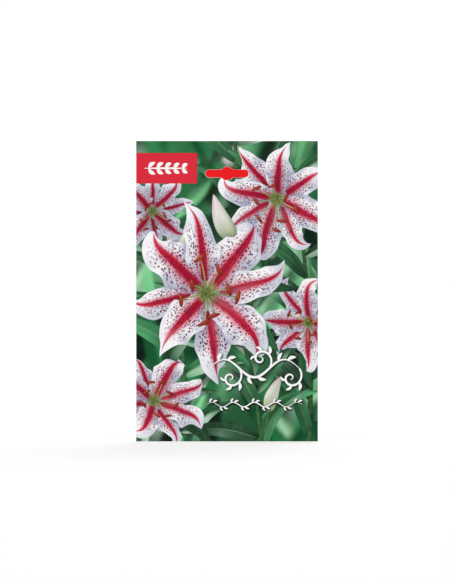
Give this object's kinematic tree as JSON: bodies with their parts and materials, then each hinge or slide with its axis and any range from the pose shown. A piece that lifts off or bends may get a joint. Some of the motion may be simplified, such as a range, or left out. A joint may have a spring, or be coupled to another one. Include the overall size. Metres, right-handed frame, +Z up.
{
  "type": "flower bulb packet",
  "caption": "Standing and hanging picture packet of a flower bulb: a printed board card with a euro slot and a clear film pouch that holds the bulb in peat.",
  "frame": {"origin": "on the surface that the packet stands on, under the middle of its width and of its depth", "axes": "+Z up along the card's height, -Y out of the printed face, +X to the right as the printed face is seen"},
  "size_m": [0.133, 0.0514, 0.22],
  "materials": {
    "print": "satin",
    "red": "satin",
    "glue": "satin",
    "film": "gloss",
    "peat": "matte",
    "bulb": "satin"
  },
  "bodies": {
    "root": {"picture_card": "print", "slot_knockout": "red", "glue_strip_lower": "glue", "glue_strip_upper": "glue", "film_pouch": "film", "packing_peat": "peat", "lily_bulb": "bulb"}
  },
  "joints": []
}
